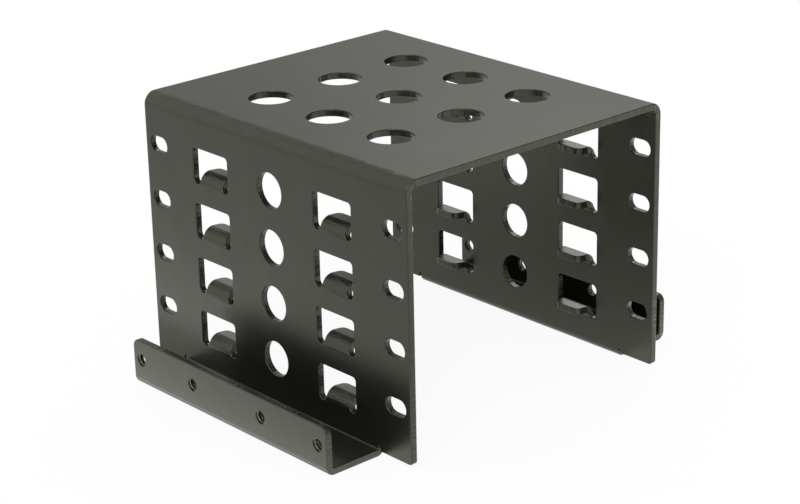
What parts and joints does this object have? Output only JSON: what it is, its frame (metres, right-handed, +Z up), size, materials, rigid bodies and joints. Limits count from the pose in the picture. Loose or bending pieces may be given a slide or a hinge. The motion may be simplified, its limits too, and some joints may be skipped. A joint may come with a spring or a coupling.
{
  "type": "drive mounting frame",
  "caption": "Folded sheet-steel frame, an inverted U with vents, screw slots and inward support tabs, that stacks small drives and screws into a large drive bay by tapped rails.",
  "frame": {"origin": "on the underside of the rails, at the middle of the frame", "axes": "+X across the bay to the right, +Y from the open front to the rear, +Z up"},
  "size_m": [0.1016, 0.0856, 0.0622],
  "materials": {
    "black_coated_steel": "semi-gloss black powder coat with a fine texture",
    "bare_steel": "bare steel of the tapped threads"
  },
  "bodies": {
    "root": {"top_panel": "black_coated_steel", "left_side_wall": "black_coated_steel", "left_mounting_rail": "black_coated_steel", "left_front_support_tab_1": "black_coated_steel", "left_front_support_tab_2": "black_coated_steel", "left_front_support_tab_3": "black_coated_steel", "left_front_support_tab_4": "black_coated_steel", "left_rear_support_tab_1": "black_coated_steel", "left_rear_support_tab_2": "black_coated_steel", "left_rear_support_tab_3": "black_coated_steel", "left_rear_support_tab_4": "black_coated_steel", "right_side_wall": "black_coated_steel", "right_mounting_rail": "black_coated_steel", "right_front_support_tab_1": "black_coated_steel", "right_front_support_tab_2": "black_coated_steel", "right_front_support_tab_3": "black_coated_steel", "right_front_support_tab_4": "black_coated_steel", "right_rear_support_tab_1": "black_coated_steel", "right_rear_support_tab_2": "black_coated_steel", "right_rear_support_tab_3": "black_coated_steel", "right_rear_support_tab_4": "black_coated_steel"}
  },
  "joints": []
}
